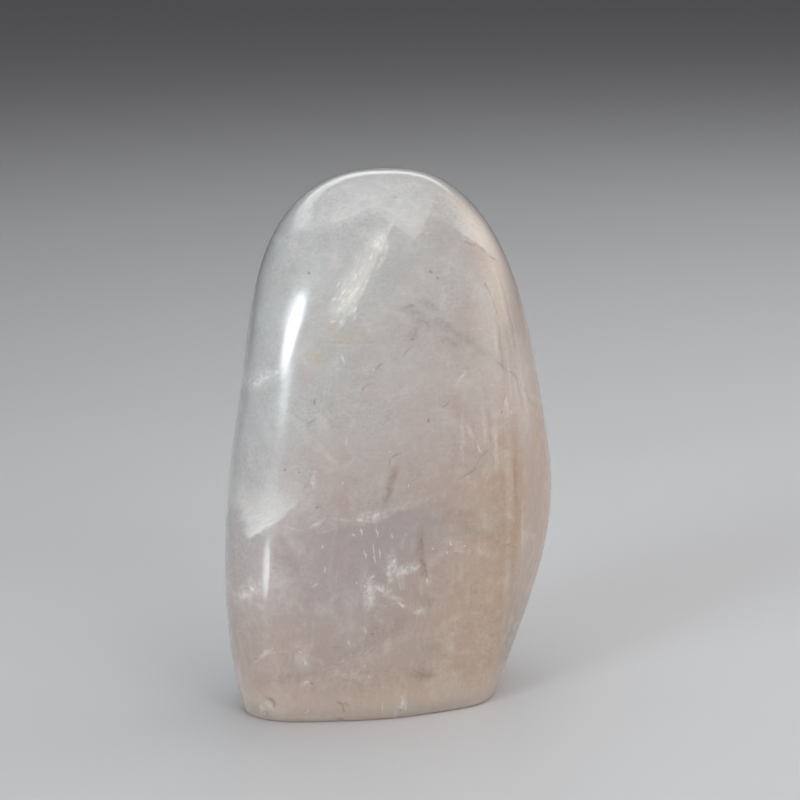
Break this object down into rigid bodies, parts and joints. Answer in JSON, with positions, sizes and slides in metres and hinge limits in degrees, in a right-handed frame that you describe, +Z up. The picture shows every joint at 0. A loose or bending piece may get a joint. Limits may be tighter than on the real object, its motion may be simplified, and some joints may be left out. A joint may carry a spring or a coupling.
{
  "type": "polished freeform stone",
  "caption": "Standing polished freeform of milky rose quartz: one rounded, slightly flattened stone with softly ridged ground sides, a domed top and a flat sawn base.",
  "frame": {"origin": "on the plane of the flat sawn base, under the middle of the stone's bounding box", "axes": "+Z up from the base to the domed top, the stone's height; +Y from the broad front face through the stone's thickness to its back; +X along its width, to the right as seen from the front"},
  "size_m": [0.0684, 0.036, 0.1],
  "materials": {
    "rose_quartz": "polished"
  },
  "bodies": {
    "root": {"rose_quartz_freeform": "rose_quartz"}
  },
  "joints": []
}
